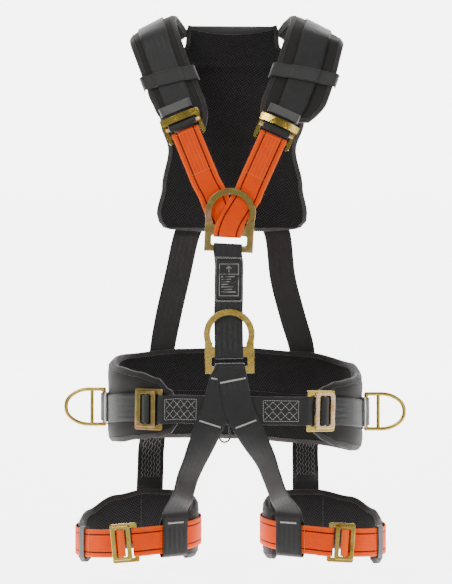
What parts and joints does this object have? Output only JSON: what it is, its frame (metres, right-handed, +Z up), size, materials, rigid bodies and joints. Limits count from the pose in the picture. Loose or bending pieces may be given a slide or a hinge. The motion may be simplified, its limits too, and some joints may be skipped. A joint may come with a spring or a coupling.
{
  "type": "safety harness",
  "caption": "Full-body safety harness with padded yoke, waist belt and leg loops, webbing straps, steel rings and pass-through buckles.",
  "frame": {"origin": "middle of the wearer's waist, at the height of the belt webbing's centreline", "axes": "+Z up the wearer, -Y out of the chest, +X to the right as seen from the front"},
  "size_m": [0.5632, 0.3158, 0.9036],
  "materials": {
    "black_webbing": "dark grey-black polyester webbing, satin",
    "orange_webbing": "fluorescent orange webbing with two dark tracer lines",
    "pad_cover": "dark brown-grey coated nylon cover with bound edges",
    "pad_mesh": "black air-mesh lining",
    "pad_foam": "closed-cell foam core",
    "zinc_steel": "yellow-passivated zinc-plated steel",
    "zinc_dark": "yellow-passivated zinc-plated steel, darker",
    "keeper_grey": "shiny grey elastic tape",
    "keeper_black": "black elastic tape",
    "black_plastic": "moulded black plastic",
    "patch": "woven patch with a white frame and arrow",
    "cord": "braided black cord"
  },
  "bodies": {
    "harness": {"label_strap": "black_webbing", "riser_l": "black_webbing", "riser_r": "black_webbing", "shoulder_webbing_l": "black_webbing", "shoulder_webbing_r": "black_webbing", "back_webbing_l": "black_webbing", "back_webbing_r": "black_webbing", "rear_leg_strap_l": "black_webbing", "rear_leg_strap_r": "black_webbing", "belt_front": "black_webbing", "belt_webbing": "black_webbing", "chest_webbing": "orange_webbing", "waist_pad_cover": "pad_cover", "back_pad_cover": "pad_cover", "shoulder_pad_l_cover": "pad_cover", "shoulder_pad_r_cover": "pad_cover", "waist_pad_lining": "pad_mesh", "back_pad_lining": "pad_mesh", "waist_pad_foam": "pad_foam", "back_pad_foam": "pad_foam", "shoulder_pad_l_core": "pad_foam", "shoulder_pad_r_core": "pad_foam", "plate_waist_r": "zinc_steel", "plate_waist_l": "zinc_steel", "strap_keeper_l": "keeper_grey", "strap_keeper_r": "keeper_grey", "pad_band_l": "keeper_black", "pad_band_r": "keeper_black", "dorsal_plate": "black_plastic", "label_patch": "patch", "cord_loop": "cord"},
    "sternal": {"sternal_ring": "zinc_steel"},
    "ventral": {"ventral_ring": "zinc_dark"},
    "dorsal": {"dorsal_ring": "zinc_steel"},
    "side_l": {"side_ring_l": "zinc_steel"},
    "side_r": {"side_ring_r": "zinc_steel"},
    "link_waist_l": {"link_waist_l": "zinc_steel", "wrap_waist_l": "black_webbing"},
    "link_waist_r": {"link_waist_r": "zinc_steel", "wrap_waist_r": "black_webbing"},
    "link_leg_l": {"link_leg_l": "zinc_steel", "wrap_leg_l": "orange_webbing"},
    "link_leg_r": {"link_leg_r": "zinc_dark", "wrap_leg_r": "orange_webbing"},
    "leg_loop_l": {"leg_pad_l_lining": "pad_mesh", "leg_pad_l_cover": "pad_cover", "leg_strap_l": "orange_webbing", "plate_leg_l": "zinc_steel", "leg_keeper_l": "keeper_black"},
    "adjust_l": {"adjuster_l": "zinc_steel", "adjuster_bar_l": "zinc_steel"},
    "belt_slider_l": {"belt_keeper_l": "keeper_grey"},
    "leg_loop_r": {"leg_pad_r_lining": "pad_mesh", "leg_pad_r_cover": "pad_cover", "leg_strap_r": "orange_webbing", "plate_leg_r": "zinc_dark", "leg_keeper_r": "keeper_black"},
    "adjust_r": {"adjuster_r": "zinc_steel", "adjuster_bar_r": "zinc_steel"},
    "belt_slider_r": {"belt_keeper_r": "keeper_grey"}
  },
  "joints": [
    {"name": "sternal_ring_swing", "type": "hinge", "parent": "harness", "child": "sternal", "pos_m": [-0.00588, -0.13, 0.27203], "axis": [0.9986, 0, -0.0523], "range_deg": [-8, 100], "deforming": ["chest_webbing", "label_strap"]},
    {"name": "ventral_ring_swing", "type": "hinge", "parent": "harness", "child": "ventral", "pos_m": [-0.00549, -0.143, 0.0815], "axis": [0.9999, 0, 0.014], "range_deg": [-8, 100]},
    {"name": "dorsal_ring_swing", "type": "hinge", "parent": "harness", "child": "dorsal", "pos_m": [0, 0.14452, 0.45245], "axis": [1, 0, 0], "range_deg": [0, 110], "deforming": ["back_webbing_l", "back_webbing_r"]},
    {"name": "side_ring_l_swing", "type": "hinge", "parent": "harness", "child": "side_l", "pos_m": [-0.21164, -0.00893, -0.0078], "axis": [0, 0, 1], "range_deg": [-50, 50]},
    {"name": "side_ring_r_swing", "type": "hinge", "parent": "harness", "child": "side_r", "pos_m": [0.21964, -0.00893, -0.0156], "axis": [0, 0, 1], "range_deg": [-50, 50]},
    {"name": "link_waist_l_tilt", "type": "hinge", "parent": "harness", "child": "link_waist_l", "pos_m": [-0.15197, -0.12366, -0.00269], "axis": [-0.0096, 0.0041, -0.9999], "range_deg": [0, 40]},
    {"name": "link_waist_r_tilt", "type": "hinge", "parent": "harness", "child": "link_waist_r", "pos_m": [0.15972, -0.12415, -0.00608], "axis": [0.0194, 0.0079, 0.9998], "range_deg": [0, 40]},
    {"name": "link_leg_l_tilt", "type": "hinge", "parent": "leg_loop_l", "child": "link_leg_l", "pos_m": [-0.19119, -0.1277, -0.21589], "axis": [0.0953, -0.0098, -0.9954], "range_deg": [0, 40]},
    {"name": "link_leg_r_tilt", "type": "hinge", "parent": "leg_loop_r", "child": "link_leg_r", "pos_m": [0.19098, -0.1257, -0.21485], "axis": [0.0689, 0.0109, 0.9976], "range_deg": [0, 40]},
    {"name": "leg_loop_l_swing", "type": "hinge", "parent": "harness", "child": "leg_loop_l", "pos_m": [-0.145, 0, -0.03], "axis": [1, 0, 0], "range_deg": [-25, 10], "deforming": ["riser_l", "rear_leg_strap_l"]},
    {"name": "adjuster_l_tilt", "type": "hinge", "parent": "harness", "child": "adjust_l", "pos_m": [-0.07953, -0.12439, 0.44511], "axis": [0.9254, 0, 0.379], "range_deg": [0, 18]},
    {"name": "leg_loop_r_swing", "type": "hinge", "parent": "harness", "child": "leg_loop_r", "pos_m": [0.138, 0, -0.03], "axis": [1, 0, 0], "range_deg": [-25, 10], "deforming": ["riser_r", "rear_leg_strap_r"]},
    {"name": "adjuster_r_tilt", "type": "hinge", "parent": "harness", "child": "adjust_r", "pos_m": [0.06844, -0.12439, 0.43642], "axis": [0.9126, 0, -0.4088], "range_deg": [0, 18]},
    {"name": "belt_keeper_l_slide", "type": "slide", "parent": "harness", "child": "belt_slider_l", "axis": [-0.2105, 0.9776, 0], "range_m": [-0.001, 0.002]},
    {"name": "belt_keeper_r_slide", "type": "slide", "parent": "harness", "child": "belt_slider_r", "axis": [0.2105, 0.9776, 0], "range_m": [-0.001, 0.002]}
  ]
}
